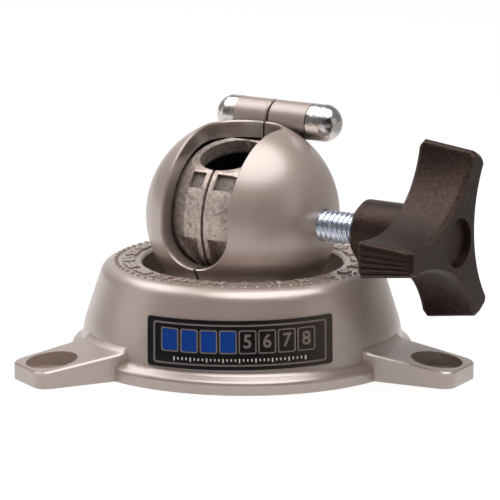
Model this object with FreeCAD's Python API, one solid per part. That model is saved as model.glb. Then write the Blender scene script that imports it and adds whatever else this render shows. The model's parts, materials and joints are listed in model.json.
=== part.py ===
import FreeCAD, Part
import math
import os

# Split-ball work holder base, in millimetres and degrees.
#
# Part frame: origin at the centre of the underside, +Z up, +Y to the lug at the back.
# Ball frame: origin at the ball's centre, +X out along the knob's stud, +Z up. The seam of the two
# ball halves is its YZ plane, and the stem slot runs over the ball from the front (-Y) to the top.
# Stem frame: the ball frame tilted about X, so that +Z runs out along the stem's bore.

# ---- Driving dimensions ----

# Mounting lugs
lug_count = 3
first_lug_angle = 90.0
bolt_circle_d = 109.54
bolt_hole_d = 5.5
bolt_seat_d = 12.8
bolt_seat_height = 2.2
lug_tip_margin = 1.1
lug_side_margin = 1.4
lug_root_half_width = 10.3
lug_root_height = 7.0
lug_tip_height = 4.1
lug_corner_r = 3.3
lug_root_blend_r = 3.5
lug_edge_bevel = 0.4
lug_blend_step = 0.25

# Base casting
foot_r = 43.3
foot_height = 3.0
foot_edge_r = 1.2
foot_blend_r = 1.6
foot_ledge = 2.55
wall_foot_z = 4.5
wall_foot_taper = 0.75
wall_knee_z = 9.0
wall_knee_round = 18.0
wall_taper = 4.9
shoulder_r = 3.9
rim_z = 24.2
rim_opening_r = 25.5
rim_edge_bevel = 0.5
casting_wall = 3.2
rib_thickness = 2.4
rib_foot_z = 3.5

# Name plate on the front of the wall
plate_angle = -92.2
plate_width = 45.2
plate_height = 11.5
plate_bottom_z = 5.75
plate_thickness = 0.45
plate_corner_r = 0.8
plate_roll = 1.0

# Ball, in the ball frame
ball_r = 24.5
ball_bottom_z = 11.5
ball_wall = 4.0
seam_gap = 0.5
seam_chamfer = 0.35
knob_azimuth = -34.0
slot_half_width = 9.6
slot_low_angle = -1.5
slot_high_angle = 90.0
slot_lip_bevel = 0.5

# Neck and flange that the ring of the base holds
neck_r = 17.5
flange_r = 20.5
flange_edge_height = 2.1
flange_bottom_z = 9.0
foot_recess_r = 11.0
foot_recess_depth = 3.4
ring_clearance = 0.35
ring_height = 5.75
ring_outer_r = 24.0
ring_foot_clearance = 0.35

# Tie bar over the back of the slot
tie_lean = 34.3
tie_rise = 2.75
tie_boss_r = 4.7
tie_boss_left = 10.0
tie_boss_right = 11.2
tie_screw_r = 1.9
tie_screw_clearance = 0.2
tie_barrel_r = 2.5
tie_barrel_fit = 0.03
tie_thread_fit = 0.02
tie_head_gap = 0.3
tie_head_r = 4.75
tie_screw_skirt = 3.9
tie_screw_dome = 3.6
tie_nut_skirt = 3.2
tie_nut_dome = 3.8
tie_socket_flats = 2.6
tie_socket_depth = 2.2
tie_barrel_end_gap = 0.3
tie_barrel_floor = 1.2

# Core that grips the stem
stem_r = 7.9375
stem_fit = 0.0425
stem_tilt = 71.0
stem_bore_floor = 13.0
core_clearance = 0.9
core_land_drop = 0.2
core_half_width = 14.5
core_seam_gap = 0.8
core_band_half_width = 5.3
core_bevel_end = 8.0
core_gap_left = 0.3
core_gap_right = 0.5
core_pocket_top = 3.1
core_pocket_length = 9.8
core_pocket_half_width = 8.0
core_pocket_inset = 1.2
core_pocket_depth = 2.8
relief_lip = 0.5
relief_length = 4.4
relief_width_left = 4.0
relief_width_right = 7.0
relief_depth = 1.1

# Stud, thrust pad and knob, measured out along X from the ball's centre
stud_r = 3.97
stud_fit = 0.05
stud_tip_chamfer = 0.7
pad_head_r = 3.6
pad_head_length = 2.1
pad_gap = 0.4
pad_spigot_r = 1.5
pad_spigot_length = 3.0
pad_fit = 0.05
stud_exposed = 11.0
stud_embedded = 19.0
stud_moulded_fit = 0.02
hub_r = 7.9
hub_length = 12.2
hub_chamfer = 1.0
knob_thickness = 14.6
knob_back_tip_r = 24.3
knob_back_tip_width = 9.9
knob_front_tip_r = 23.0
knob_front_tip_width = 6.7
knob_waist_r = 8.7
knob_corner_r = 1.4
knob_edge_bevel = 1.0
knob_first_arm = -4.1
knob_arm_count = 3
knob_recess_r = 6.1
knob_recess_depth = 1.5
grip_groove_count = 5
grip_groove_span = 0.62
grip_groove_r = 0.4

# ---- Sizes that follow ----

X_AXIS = FreeCAD.Vector(1, 0, 0)
Y_AXIS = FreeCAD.Vector(0, 1, 0)
Z_AXIS = FreeCAD.Vector(0, 0, 1)
ORIGIN = FreeCAD.Vector(0, 0, 0)
bolt_circle_r = bolt_circle_d / 2
lug_tip_r = bolt_circle_r + bolt_seat_d / 2 + lug_tip_margin
lug_tip_half_width = bolt_seat_d / 2 + lug_side_margin
wall_foot_r = foot_r - foot_ledge
wall_knee_r = wall_foot_r - wall_foot_taper
wall_top_r = wall_knee_r - wall_taper
ball_centre_z = ball_bottom_z + ball_r
tie_reach = ball_r + tie_rise
tie_back = tie_reach * math.sin(math.radians(tie_lean))
tie_height = tie_reach * math.cos(math.radians(tie_lean))
cavity_r = ball_r - ball_wall
core_r = cavity_r - core_clearance
core_band_r = math.sqrt(core_r ** 2 - core_band_half_width ** 2)
stem_bore_r = stem_r + stem_fit
core_land = math.sqrt(core_band_r ** 2 - stem_bore_r ** 2) - core_land_drop
stud_hole_r = stud_r + stud_fit
pad_face_x = core_half_width + pad_gap
stud_tip_x = pad_face_x + pad_head_length + pad_fit
hub_start_x = ball_r + stud_exposed
knob_back_x = hub_start_x + hub_length
knob_front_x = knob_back_x + knob_thickness
flange_top_z = flange_bottom_z + flange_edge_height
neck_foot_z = flange_top_z + flange_r - neck_r
ring_bottom_z = flange_top_z + ring_foot_clearance
ring_top_z = ring_bottom_z + ring_height
ring_inner_r = neck_r + ring_clearance
ring_seat_r = flange_r + ring_clearance * math.sqrt(2) - ring_foot_clearance
under_rim_z = rim_z - casting_wall
FAR = 4 * (lug_tip_r + ball_centre_z)
SAME_PLACE = 1e-6
EDGE_MARGIN = 1e-3


# ---- Helpers ----


def point(x, y, z):
    return FreeCAD.Vector(x, y, z)


def rounded_wire(corners):
    """Closed wire through (point, radius) corners, each rounded by a tangent arc where its radius isn't 0."""
    arcs = []
    for index, (corner, radius) in enumerate(corners):
        back = (corners[index - 1][0] - corner).normalize()
        ahead = (corners[(index + 1) % len(corners)][0] - corner).normalize()
        half_angle = back.getAngle(ahead) / 2
        reach = radius / math.tan(half_angle)
        inward = back + ahead
        middle = corner
        if radius:
            middle = corner + inward.normalize() * (radius / math.sin(half_angle) - radius)
        arcs.append((corner + back * reach, middle, corner + ahead * reach))
    edges = []
    for index, (start, middle, end) in enumerate(arcs):
        previous_end = arcs[index - 1][2]
        if previous_end.distanceToPoint(start) > SAME_PLACE:
            edges.append(Part.LineSegment(previous_end, start).toShape())
        if corners[index][1]:
            edges.append(Part.Arc(start, middle, end).toShape())
    return Part.Wire(edges)


def turned_z(profile):
    """Solid turned about Z from (r, z, radius) corners."""
    wire = rounded_wire([(point(r, 0, z), radius) for r, z, radius in profile])
    return Part.Face(wire).revolve(ORIGIN, Z_AXIS, 360)


def cylinder_x(radius, start, end, y=0.0, z=0.0):
    """Cylinder along X from start to end."""
    return Part.makeCylinder(radius, end - start, point(start, y, z), X_AXIS)


def slab_x(start, end):
    """Wide block between two planes across X."""
    return Part.makeBox(end - start, FAR, FAR, point(start, -FAR / 2, -FAR / 2))


def turned(shape, angle, axis=Z_AXIS):
    """Copy turned about an axis through the origin."""
    copy = shape.copy()
    copy.rotate(ORIGIN, axis, angle)
    return copy


def placed_ball(shape):
    """Copy of a ball-frame shape in the part frame."""
    copy = turned(shape, knob_azimuth)
    copy.translate(point(0, 0, ball_centre_z))
    return copy


# ---- Base ----


def outer_profile(growth=0.0):
    """Outside of the base, from the axis round the foot and up the wall to the rim."""
    return [
        (growth, 0, 0),
        (foot_r + growth, 0, 0),
        (foot_r + growth, foot_height, foot_edge_r),
        (wall_foot_r + growth, wall_foot_z, foot_blend_r),
        (wall_knee_r + growth, wall_knee_z, wall_knee_round),
        (wall_top_r + growth, rim_z, shoulder_r),
        (growth, rim_z, 0),
    ]


def wall_r(z):
    """Radius of the wall's straight upper part."""
    slope = (wall_knee_r - wall_top_r) / (rim_z - wall_knee_z)
    return wall_knee_r - slope * (z - wall_knee_z)


def base_hollow():
    """Open space under the wall, the rim and the ring."""
    return turned_z([
        (0, 0, 0),
        (foot_r - casting_wall, 0, 0),
        (wall_knee_r - casting_wall, wall_knee_z, 0),
        (wall_r(under_rim_z) - casting_wall, under_rim_z, 0),
        (rim_opening_r + casting_wall, under_rim_z, 0),
        (rim_opening_r + casting_wall, ring_top_z - casting_wall, 0),
        (ring_outer_r, ring_top_z - casting_wall, 0),
        (ring_outer_r, ring_bottom_z, 0),
        (0, ring_bottom_z, 0),
    ])


def base_mouth():
    """Cup under the rim, and the ring's bore with the wedge seat for the flange."""
    return turned_z([
        (0, ring_bottom_z, 0),
        (ring_seat_r, ring_bottom_z, 0),
        (ring_inner_r, ring_bottom_z + ring_seat_r - ring_inner_r, 0),
        (ring_inner_r, ring_top_z, 0),
        (rim_opening_r, ring_top_z, 0),
        (rim_opening_r, rim_z - rim_edge_bevel, 0),
        (rim_opening_r + rim_edge_bevel, rim_z, 0),
        (0, rim_z, 0),
    ])


def lug():
    """Tapered tongue along +X. Its top slopes down to the tip and curves up into the wall."""
    root_r = wall_top_r - casting_wall
    tongue = Part.Face(rounded_wire([
        (point(root_r, -lug_root_half_width, 0), 0),
        (point(lug_tip_r, -lug_tip_half_width, 0), lug_corner_r),
        (point(lug_tip_r, lug_tip_half_width, 0), lug_corner_r),
        (point(root_r, lug_root_half_width, 0), 0),
    ])).extrude(Z_AXIS * rim_z)
    slope = (lug_root_height - lug_tip_height) / (lug_tip_r - wall_foot_r)
    blend_top_z = wall_knee_z + lug_root_blend_r
    envelope = turned_z([
        (0, 0, 0),
        (lug_tip_r + lug_corner_r, 0, 0),
        (lug_tip_r + lug_corner_r, lug_tip_height - slope * lug_corner_r, 0),
        (wall_knee_r + lug_blend_step, lug_root_height, lug_root_blend_r),
        (wall_r(blend_top_z) - lug_blend_step, blend_top_z, 0),
        (0, blend_top_z, 0),
    ])
    tongue = tongue.common(envelope)
    upper_edges = [
        edge for edge in tongue.Edges
        if edge.BoundBox.ZMin > lug_tip_height / 2
        and edge.BoundBox.XMin > foot_r
        and edge.BoundBox.XLength + edge.BoundBox.YLength > lug_edge_bevel
    ]
    return tongue.makeChamfer(lug_edge_bevel, upper_edges)


def rib():
    """Web along +X between the ring and the wall, under the cup."""
    inside_ring_r = ring_outer_r - rib_thickness
    side = Part.makePolygon([
        point(inside_ring_r, -rib_thickness / 2, ring_bottom_z),
        point(ring_outer_r, -rib_thickness / 2, ring_bottom_z),
        point(foot_r, -rib_thickness / 2, rib_foot_z),
        point(foot_r, -rib_thickness / 2, rim_z),
        point(inside_ring_r, -rib_thickness / 2, rim_z),
        point(inside_ring_r, -rib_thickness / 2, ring_bottom_z),
    ])
    return Part.Face(side).extrude(Y_AXIS * rib_thickness)


def base_casting():
    """Hollow bell with three lugs, and a ring under its cup that holds the ball's flange."""
    hollow = base_hollow()
    angles = [first_lug_angle + 360 / lug_count * index for index in range(lug_count)]
    casting = turned_z(outer_profile()).fuse([turned(lug(), angle) for angle in angles])
    casting = casting.cut([hollow, base_mouth()])
    casting = casting.fuse([turned(rib(), angle).common(hollow) for angle in angles])
    for angle in angles:
        centre = turned(Part.Vertex(bolt_circle_r, 0, 0), angle).Point
        seat = Part.makeCylinder(bolt_seat_d / 2, rim_z, centre + Z_AXIS * bolt_seat_height)
        hole = Part.makeCylinder(bolt_hole_d / 2, rim_z, centre)
        casting = casting.cut([seat, hole])
    return casting.removeSplitter()


def name_plate():
    """Thin plate with rounded corners, bent round the front of the wall."""
    left = -plate_width / 2
    top = plate_bottom_z + plate_height
    window = Part.Face(rounded_wire([
        (point(left, 0, plate_bottom_z), plate_corner_r),
        (point(-left, 0, plate_bottom_z), plate_corner_r),
        (point(-left, 0, top), plate_corner_r),
        (point(left, 0, top), plate_corner_r),
    ])).extrude(Y_AXIS * -FAR)
    window.rotate(point(0, 0, (plate_bottom_z + top) / 2), Y_AXIS, -plate_roll)
    window = turned(window, plate_angle + 90)
    skin = turned_z(outer_profile(plate_thickness)).cut(turned_z(outer_profile()))
    return skin.common(window)


# ---- Ball halves, in the ball frame ----


def ball_foot():
    """Neck and wedge-topped flange under the ball."""
    return turned_z([
        (0, flange_bottom_z - ball_centre_z, 0),
        (flange_r, flange_bottom_z - ball_centre_z, 0),
        (flange_r, flange_top_z - ball_centre_z, 0),
        (neck_r, neck_foot_z - ball_centre_z, 0),
        (neck_r, -ball_r / 2, 0),
        (0, -ball_r / 2, 0),
    ])


def stem_slot():
    """Space swept by a round bar of the slot's width as it tilts about X, flared to bevel the slot's lip."""
    swing = slot_high_angle - slot_low_angle
    lip = math.sqrt(ball_r ** 2 - slot_half_width ** 2) - slot_lip_bevel
    flare = 2 * slot_lip_bevel
    side = [
        (slot_half_width, 0),
        (slot_half_width, lip),
        (slot_half_width + flare, lip + flare),
        (slot_half_width + flare, FAR),
    ]
    right = [point(x, 0, z) for x, z in side]
    left = [point(-x, 0, z) for x, z in reversed(side)]
    axis = [point(0, 0, FAR), ORIGIN]
    bar = Part.Face(Part.makePolygon(right + axis + right[:1])).revolve(ORIGIN, Z_AXIS, 360)
    sector = Part.Face(Part.makePolygon(right + left + right[:1])).revolve(ORIGIN, X_AXIS, swing)
    sweep = bar.fuse([sector, turned(bar, swing, X_AXIS)])
    return turned(sweep.removeSplitter(), 90 - slot_high_angle, X_AXIS)


def seam_groove(radius):
    """Ring about X whose inner edge bevels both sides of the seam at this radius."""
    bevel = seam_gap / 2 + seam_chamfer
    section = Part.makePolygon([
        point(-bevel, radius, 0),
        point(0, radius - bevel, 0),
        point(bevel, radius, 0),
        point(bevel, radius + bevel, 0),
        point(-bevel, radius + bevel, 0),
        point(-bevel, radius, 0),
    ])
    return Part.Face(section).revolve(ORIGIN, X_AXIS, 360)


def tie_boss():
    """Round bar over the back of the slot, which the seam parts into two bosses."""
    bar = cylinder_x(tie_boss_r, -tie_boss_left, tie_boss_right)
    bar = bar.cut(seam_groove(tie_boss_r))
    bar.translate(point(0, tie_back, tie_height))
    return bar


def ball_body():
    """Both ball halves in one: a shell round the core, with its slot, foot and tie bar."""
    slot = stem_slot()
    body = Part.makeSphere(ball_r).cut(seam_groove(ball_r)).fuse(ball_foot())
    cavity_left = core_half_width + core_gap_left
    cavity_right = core_half_width + core_gap_right
    cavity = Part.makeSphere(cavity_r).common(slab_x(-cavity_left, cavity_right))
    recess = Part.makeCylinder(
        foot_recess_r, foot_recess_depth, point(0, 0, flange_bottom_z - ball_centre_z)
    )
    body = body.cut(slot).cut([cavity, recess]).fuse(tie_boss())
    return body.removeSplitter()


def ball_half_left(body):
    """Half away from the knob, bored for the tie nut's barrel."""
    half = body.common(slab_x(-FAR, -seam_gap / 2))
    return half.cut(cylinder_x(tie_barrel_r + tie_barrel_fit, -FAR, 0, tie_back, tie_height))


def ball_half_right(body):
    """Half under the knob, bored for the tie screw and tapped for the stud."""
    half = body.common(slab_x(seam_gap / 2, FAR))
    screw_hole = cylinder_x(tie_screw_r + tie_screw_clearance, 0, FAR, tie_back, tie_height)
    return half.cut([screw_hole, cylinder_x(stud_hole_r, 0, FAR)])


# ---- Tie screw and nut ----


def domed_head(skirt, dome):
    """Head turned about X from its seat at x = 0: a straight skirt under a dome."""
    dome_r = (tie_head_r ** 2 + dome ** 2) / (2 * dome)
    centre = skirt + dome - dome_r
    half_sweep = math.atan2(tie_head_r, skirt - centre) / 2
    skirt_edge = point(skirt, tie_head_r, 0)
    crown_side = point(centre + dome_r * math.cos(half_sweep), dome_r * math.sin(half_sweep), 0)
    crown = point(skirt + dome, 0, 0)
    outline = Part.Wire([
        Part.LineSegment(ORIGIN, point(0, tie_head_r, 0)).toShape(),
        Part.LineSegment(point(0, tie_head_r, 0), skirt_edge).toShape(),
        Part.Arc(skirt_edge, crown_side, crown).toShape(),
        Part.LineSegment(crown, ORIGIN).toShape(),
    ])
    return Part.Face(outline).revolve(ORIGIN, X_AXIS, 360)


def hex_socket(crown):
    """Six-sided socket sunk into a domed head from its crown."""
    corner_r = tie_socket_flats / 2 / math.cos(math.pi / 6)
    corners = [
        point(crown - tie_socket_depth, corner_r * math.cos(turn), corner_r * math.sin(turn))
        for turn in [math.pi / 3 * index for index in range(7)]
    ]
    return Part.Face(Part.makePolygon(corners)).extrude(X_AXIS * crown)


def tie_screw():
    """Screw through the right boss into the nut's barrel."""
    head = domed_head(tie_screw_skirt, tie_screw_dome)
    head.translate(X_AXIS * (tie_boss_right + tie_head_gap))
    tip = -tie_boss_left + tie_barrel_floor + tie_barrel_end_gap
    screw = head.fuse(cylinder_x(tie_screw_r, tip, tie_boss_right + tie_head_gap))
    screw.translate(point(0, tie_back, tie_height))
    return screw.removeSplitter()


def tie_nut():
    """Domed nut whose barrel fills the left boss, with the socket that it is turned by."""
    head = domed_head(tie_nut_skirt, tie_nut_dome).cut(hex_socket(tie_nut_skirt + tie_nut_dome))
    head = turned(head, 180)
    head.translate(X_AXIS * -tie_boss_left)
    end = -seam_gap / 2 - tie_barrel_end_gap
    nut = head.fuse(cylinder_x(tie_barrel_r, -tie_boss_left, end))
    nut = nut.cut(cylinder_x(tie_screw_r + tie_thread_fit, -tie_boss_left + tie_barrel_floor, 0))
    nut.translate(point(0, tie_back, tie_height))
    return nut.removeSplitter()


# ---- Core halves, in the stem frame ----


def core_body():
    """Ball cut flat at both sides and at the stem's mouth, with a straight band between two bevels."""
    bevel_r = math.sqrt(core_r ** 2 - core_bevel_end ** 2)
    side_r = math.sqrt(core_r ** 2 - core_half_width ** 2)
    mid_x = (core_bevel_end + core_half_width) / 2
    mid_r = math.sqrt(core_r ** 2 - mid_x ** 2)
    edges = []
    for side in (-1, 1):
        corners = [
            point(side * core_half_width, 0, 0),
            point(side * core_half_width, side_r, 0),
            point(side * mid_x, mid_r, 0),
            point(side * core_bevel_end, bevel_r, 0),
            point(side * core_band_half_width, core_band_r, 0),
        ]
        edges.append(Part.LineSegment(corners[0], corners[1]).toShape())
        edges.append(Part.Arc(corners[1], corners[2], corners[3]).toShape())
        edges.append(Part.LineSegment(corners[3], corners[4]).toShape())
    band_left = point(-core_band_half_width, core_band_r, 0)
    band_right = point(core_band_half_width, core_band_r, 0)
    edges.append(Part.LineSegment(band_left, band_right).toShape())
    edges.append(Part.LineSegment(point(-core_half_width, 0, 0), point(core_half_width, 0, 0)).toShape())
    outline = Part.Wire(Part.sortEdges(edges)[0])
    body = Part.Face(outline).revolve(ORIGIN, X_AXIS, 360)
    return body.cut(Part.makeCylinder(core_r, FAR, point(0, 0, core_land)))


def core_pocket():
    """Three-sided pocket in the front of the right half, which narrows down to the seam."""
    floor_y = core_pocket_depth - core_band_r
    inner_x = core_seam_gap / 2 + core_pocket_inset
    corners = Part.makePolygon([
        point(inner_x, floor_y, core_pocket_top),
        point(core_pocket_half_width, floor_y, core_pocket_top),
        point(inner_x, floor_y, core_pocket_top - core_pocket_length),
        point(inner_x, floor_y, core_pocket_top),
    ])
    return Part.Face(corners).extrude(Y_AXIS * -FAR)


def mouth_relief(width):
    """Shallow relief in the right half, behind a lip round the bore's mouth."""
    inner_x = core_seam_gap / 2 + core_pocket_inset
    floor = core_band_r - relief_depth
    corner = math.hypot(floor, relief_length / 2)
    lip_angle = math.asin((stem_bore_r + relief_lip) / corner)
    angle = math.degrees(lip_angle + math.atan2(relief_length / 2, floor))
    cutter = Part.makeBox(width, relief_length, FAR, point(inner_x, -relief_length / 2, floor))
    return turned(cutter, angle, X_AXIS)


def core_half(body, side):
    """Half of the core on one side of its seam; side is -1 for the left and 1 for the right."""
    relief_width = relief_width_right if side > 0 else relief_width_left
    cutters = [core_pocket(), mouth_relief(relief_width)]
    if side < 0:
        cutters = [cutter.mirror(ORIGIN, X_AXIS) for cutter in cutters]
    inner = core_seam_gap / 2
    keep = slab_x(inner, FAR) if side > 0 else slab_x(-FAR, -inner)
    bore = Part.makeCylinder(stem_bore_r, FAR, point(0, 0, -stem_bore_floor))
    half = body.common(keep).cut([bore] + cutters)
    return turned(half, 90 - stem_tilt, X_AXIS)


# ---- Stud, pad and knob, in the ball frame ----


def thrust_pad():
    """Pad that presses on the core, with a spigot that the stud's tip turns on."""
    head = cylinder_x(pad_head_r, pad_face_x, pad_face_x + pad_head_length)
    spigot_end = stud_tip_x + pad_spigot_length
    return head.fuse(cylinder_x(pad_spigot_r, pad_face_x, spigot_end)).removeSplitter()


def knob_stud():
    """Stud from the pad to inside the knob, with its thread left plain."""
    end = hub_start_x + stud_embedded
    stud = cylinder_x(stud_r, stud_tip_x, end)
    rims = [edge for edge in stud.Edges if edge.BoundBox.XLength < EDGE_MARGIN]
    stud = stud.makeChamfer(stud_tip_chamfer, rims)
    spigot_hole_end = stud_tip_x + pad_spigot_length + pad_fit
    return stud.cut(cylinder_x(pad_spigot_r + pad_fit, 0, spigot_hole_end))


def knob_spot(x, radius, angle):
    """Point on the plane at x, at an angle about X from the front of the ball upwards."""
    turn = math.radians(angle)
    return point(x, -radius * math.cos(turn), radius * math.sin(turn))


def knob_outline(x, tip_r, tip_width, waist_r):
    """Wire of the three-armed star on the plane at x, with hollow flanks and rounded corners."""
    half_tip = math.degrees(math.asin(tip_width / 2 / tip_r))
    pitch = 360 / knob_arm_count
    edges = []
    for index in range(knob_arm_count):
        arm = knob_first_arm + pitch * index
        tip_start = knob_spot(x, tip_r, arm - half_tip)
        tip_end = knob_spot(x, tip_r, arm + half_tip)
        waist = knob_spot(x, waist_r, arm + pitch / 2)
        next_tip = knob_spot(x, tip_r, arm + pitch - half_tip)
        edges.append(Part.Arc(tip_start, knob_spot(x, tip_r, arm), tip_end).toShape())
        edges.append(Part.Arc(tip_end, waist, next_tip).toShape())
    star = Part.Face(Part.Wire(edges)).extrude(X_AXIS * knob_thickness)
    corners = [edge for edge in star.Edges if edge.BoundBox.XLength > knob_thickness / 2]
    star = star.makeFillet(knob_corner_r, corners)
    back = [face for face in star.Faces if face.BoundBox.XMax < x + EDGE_MARGIN]
    return back[0].OuterWire


def knob_arms():
    """Three-armed star that tapers to its face, with bevelled edges."""
    bevel = knob_edge_bevel
    back = (knob_back_tip_r, knob_back_tip_width, knob_waist_r)
    front = (knob_front_tip_r, knob_front_tip_width, knob_waist_r)
    sections = []
    for x, sizes, inset in (
        (knob_back_x, back, bevel),
        (knob_back_x + bevel, back, 0),
        (knob_front_x - bevel, front, 0),
        (knob_front_x, front, bevel),
    ):
        tip_r, tip_width, waist_r = sizes
        sections.append(knob_outline(x, tip_r - inset, tip_width - inset, waist_r - inset))
    return Part.makeLoft(sections, True, True)


def grip_groove(arm, share):
    """Round bar that cuts one groove along an arm's tip, at a share of the tip's width off its middle."""
    ends = []
    for x, tip_r, tip_width in (
        (knob_back_x + knob_edge_bevel, knob_back_tip_r, knob_back_tip_width),
        (knob_front_x - knob_edge_bevel, knob_front_tip_r, knob_front_tip_width),
    ):
        ends.append(knob_spot(x, tip_r, arm + math.degrees(share * tip_width / tip_r)))
    run = ends[1] - ends[0]
    return Part.makeCylinder(grip_groove_r, 2 * run.Length, ends[0] - run / 2, run)


def knob():
    """Knob moulded on the stud, with a dished face and grooved arm tips."""
    hub = cylinder_x(hub_r, hub_start_x, knob_back_x + hub_chamfer)
    back_rim = [edge for edge in hub.Edges if edge.BoundBox.XMax < hub_start_x + EDGE_MARGIN]
    hub = hub.makeChamfer(hub_chamfer, back_rim)
    body = hub.fuse(knob_arms())
    cutters = [
        cylinder_x(knob_recess_r, knob_front_x - knob_recess_depth, FAR),
        cylinder_x(stud_r + stud_moulded_fit, 0, hub_start_x + stud_embedded),
    ]
    for arm_index in range(knob_arm_count):
        arm = knob_first_arm + 360 / knob_arm_count * arm_index
        for groove_index in range(grip_groove_count):
            share = grip_groove_span * (groove_index / (grip_groove_count - 1) - 0.5)
            cutters.append(grip_groove(arm, share))
    return body.cut(cutters).removeSplitter()


# ---- Pieces ----


def all_pieces():
    """Every piece in the part frame, by name."""
    body = ball_body()
    core = core_body()
    pieces = {"base_casting": base_casting(), "name_plate": name_plate()}
    ball_pieces = {
        "ball_half_left": ball_half_left(body),
        "ball_half_right": ball_half_right(body),
        "tie_screw": tie_screw(),
        "tie_nut": tie_nut(),
        "core_half_left": core_half(core, -1),
        "core_half_right": core_half(core, 1),
        "thrust_pad": thrust_pad(),
        "knob_stud": knob_stud(),
        "knob": knob(),
    }
    for name, shape in ball_pieces.items():
        pieces[name] = placed_ball(shape)
    return pieces


os.makedirs("parts", exist_ok=True)
for name, shape in all_pieces().items():
    solids = Part.makeCompound(shape.Solids)
    solids.exportStep(f"parts/{name}.step")
    box = solids.BoundBox
    print(f"{name}: {len(solids.Solids)} solid, {solids.Volume / 1000:.2f} cm3, "
          f"valid {solids.isValid()}, z {box.ZMin:.2f} to {box.ZMax:.2f}")
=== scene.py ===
"""Looks of a split-ball vise base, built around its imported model. Lengths are in metres."""

import json
import math

import bmesh
import bpy
from mathutils import Matrix, Vector
from mathutils.bvhtree import BVHTree


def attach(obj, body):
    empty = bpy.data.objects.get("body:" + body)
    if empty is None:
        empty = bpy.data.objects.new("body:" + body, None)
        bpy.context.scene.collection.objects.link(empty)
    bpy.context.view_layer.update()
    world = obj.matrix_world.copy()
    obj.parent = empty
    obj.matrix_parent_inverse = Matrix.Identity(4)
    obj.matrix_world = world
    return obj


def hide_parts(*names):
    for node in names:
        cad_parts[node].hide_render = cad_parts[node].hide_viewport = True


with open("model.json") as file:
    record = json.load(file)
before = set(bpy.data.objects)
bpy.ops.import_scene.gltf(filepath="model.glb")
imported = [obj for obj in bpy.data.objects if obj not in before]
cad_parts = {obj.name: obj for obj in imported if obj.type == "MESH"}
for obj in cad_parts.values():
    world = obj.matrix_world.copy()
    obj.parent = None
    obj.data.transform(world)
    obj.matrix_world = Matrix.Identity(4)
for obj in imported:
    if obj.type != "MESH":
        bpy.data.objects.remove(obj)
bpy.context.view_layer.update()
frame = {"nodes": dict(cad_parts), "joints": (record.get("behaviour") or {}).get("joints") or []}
nodes = frame["nodes"]
joints = {joint["name"]: joint for joint in frame["joints"]}

MM = 0.001
BALL_CENTRE = Vector(joints["tilt"]["pos_m"])
KNOB_AXIS = Vector(joints["tilt"]["axis"]).normalized()
TIE_CENTRE = Vector(joints["spread"]["pos_m"])
UP = Vector((0, 0, 1))
FRONT = KNOB_AXIS.cross(UP).normalized()
STEM_TILT = math.radians(71.0)
STEM_AXIS = (FRONT * math.cos(STEM_TILT) + UP * math.sin(STEM_TILT)).normalized()
RELIEF_LEAN = STEM_TILT - math.radians(35.2)
RELIEF_AXIS = (FRONT * math.cos(RELIEF_LEAN) + UP * math.sin(RELIEF_LEAN)).normalized()


# ---- Camera ----

CAMERA_DISTANCE = 0.8341
CAMERA_TARGET = Vector((0, 0, 0.030))
CAMERA_ELEVATION = math.radians(12.003)
CAMERA_AZIMUTH = math.radians(1.196)
CAMERA_ROLL = math.radians(0.270)
CAMERA_LENS = 237.55
CAMERA_SHIFT = (0.01442, -0.02518)
CAMERA_REACH = 10
SENSOR_WIDTH = 36.0


def make_camera():
    """Camera at the photograph's viewing angle."""
    data = bpy.data.cameras.new("camera")
    data.lens = CAMERA_LENS
    data.sensor_width = SENSOR_WIDTH
    data.shift_x, data.shift_y = CAMERA_SHIFT
    data.clip_end = CAMERA_REACH
    camera = bpy.data.objects.new("camera", data)
    bpy.context.scene.collection.objects.link(camera)
    forward = Vector((
        math.sin(CAMERA_AZIMUTH) * math.cos(CAMERA_ELEVATION),
        math.cos(CAMERA_AZIMUTH) * math.cos(CAMERA_ELEVATION),
        -math.sin(CAMERA_ELEVATION),
    ))
    right = Vector((math.cos(CAMERA_AZIMUTH), -math.sin(CAMERA_AZIMUTH), 0))
    up = right.cross(forward)
    turn = Matrix.Rotation(-CAMERA_ROLL, 3, forward)
    right, up = turn @ right, turn @ up
    rotation = Matrix((right, up, -forward)).transposed().to_4x4()
    camera.matrix_world = Matrix.Translation(CAMERA_TARGET - CAMERA_DISTANCE * forward) @ rotation
    bpy.context.scene.camera = camera


# ---- Shader helpers ----
# A grain is a noise's (scale per millimetre, detail, roughness).
# A relief is a bump's (strength, height in millimetres).

NOISE_SPAN = (0.3, 0.7)
SHARE_SPAN = (0, 1)
MIX_FIRST_COLOUR = 6
MIX_SECOND_COLOUR = 7
MIX_RESULT_COLOUR = 2
RECESS_SAMPLES = 8


def new_material(name):
    """Material with an empty Principled shader, its node tree and the shader."""
    material = bpy.data.materials.new(name)
    material.use_nodes = True
    tree = material.node_tree
    return material, tree, tree.nodes["Principled BSDF"]


def add_node(tree, kind, **inputs):
    """New node of a kind; inputs are set by name, with underscores for spaces."""
    node = tree.nodes.new(kind)
    for name, value in inputs.items():
        node.inputs[name.replace("_", " ")].default_value = value
    return node


def position(tree, kind="Object"):
    """Place of the shaded point in its object, which is the frame's at rest, or another coordinate."""
    return tree.nodes.new("ShaderNodeTexCoord").outputs[kind]


def millimetres(tree):
    """Place of the shaded point in millimetres."""
    mapping = tree.nodes.new("ShaderNodeMapping")
    mapping.inputs["Scale"].default_value = [1 / MM] * 3
    tree.links.new(position(tree), mapping.inputs["Vector"])
    return mapping.outputs["Vector"]


def along_axis(tree, vector, axis):
    """The vector's X, Y or Z."""
    split = tree.nodes.new("ShaderNodeSeparateXYZ")
    tree.links.new(vector, split.inputs["Vector"])
    return split.outputs[axis]


def noise(tree, vector, grain):
    """Noise over a place in millimetres."""
    scale, detail, roughness = grain
    node = add_node(tree, "ShaderNodeTexNoise", Scale=scale, Detail=detail, Roughness=roughness)
    tree.links.new(vector, node.inputs["Vector"])
    return node.outputs["Fac"]


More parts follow.
